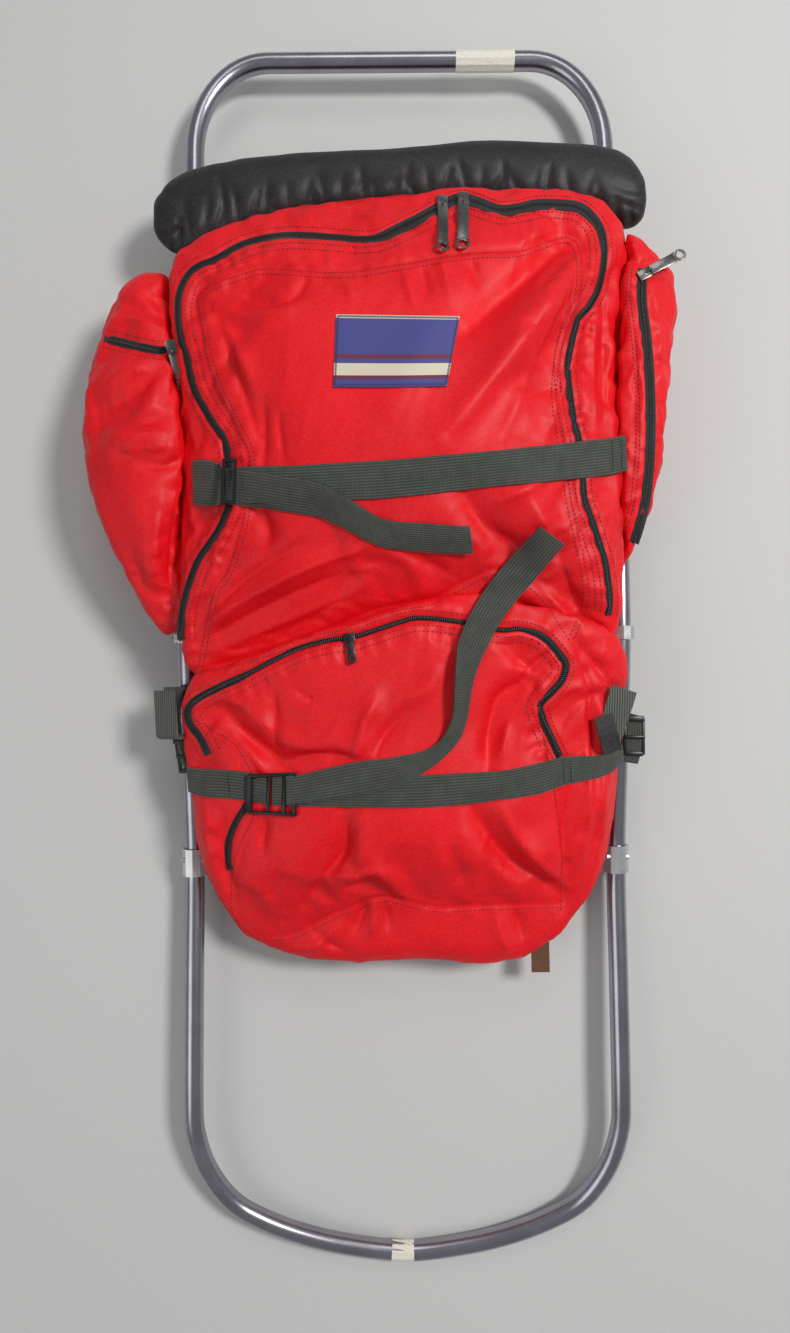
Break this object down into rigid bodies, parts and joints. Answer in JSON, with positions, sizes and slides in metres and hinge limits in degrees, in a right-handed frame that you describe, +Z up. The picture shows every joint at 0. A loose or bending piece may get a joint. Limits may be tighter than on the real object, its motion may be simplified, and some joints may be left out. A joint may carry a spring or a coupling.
{
  "type": "external frame backpack",
  "caption": "Zipped fabric backpack on a bent tube frame, with side pockets, padded collar roll, compression straps and a carrying harness, lying on its back.",
  "frame": {"origin": "on the floor, under the middle of the object's box", "axes": "+Y towards the top of the pack, +X to the right as seen from the front of the pack, +Z up from the harness to the front panel"},
  "size_m": [0.4876, 1.0512, 0.1466],
  "materials": {
    "nylon_red": "satin",
    "fabric_black": "matte",
    "webbing_olive": "matte",
    "tube_anodised": "satin",
    "collar_silver": "satin",
    "tape_cream": "matte",
    "zip_black": "matte",
    "nickel": "satin",
    "buckle_black": "matte",
    "label_blue": "matte",
    "leather_brown": "matte"
  },
  "bodies": {
    "root": {"upper_bag": "nylon_red", "lower_bag": "nylon_red", "left_pocket": "nylon_red", "right_pocket": "nylon_red", "collar_roll": "fabric_black", "shoulder_strap_left": "fabric_black", "shoulder_strap_right": "fabric_black", "hip_belt": "fabric_black", "back_band": "fabric_black", "right_keeper": "fabric_black", "upper_strap": "webbing_olive", "upper_anchor": "webbing_olive", "lower_strap": "webbing_olive", "lower_strap_left": "webbing_olive", "left_loop": "webbing_olive", "right_loop": "webbing_olive", "upper_hoop": "tube_anodised", "lower_hoop": "tube_anodised", "crossbar_top": "tube_anodised", "crossbar_middle": "tube_anodised", "crossbar_lumbar": "tube_anodised", "collar_joint_left": "collar_silver", "collar_joint_right": "collar_silver", "collar_middle_left": "collar_silver", "collar_middle_right": "collar_silver", "tape_top": "tape_cream", "tape_bottom": "tape_cream", "main_zip": "zip_black", "lower_zip": "zip_black", "left_pocket_zip": "zip_black", "right_pocket_zip": "zip_black", "lower_pull": "zip_black", "main_pull_left": "nickel", "main_pull_right": "nickel", "left_pocket_pull": "nickel", "right_pocket_pull": "nickel", "upper_ring": "buckle_black", "lower_buckle": "buckle_black", "left_buckle": "buckle_black", "right_buckle": "buckle_black", "belt_buckle": "buckle_black", "label_patch": "label_blue", "bottom_tab": "leather_brown"}
  },
  "joints": []
}
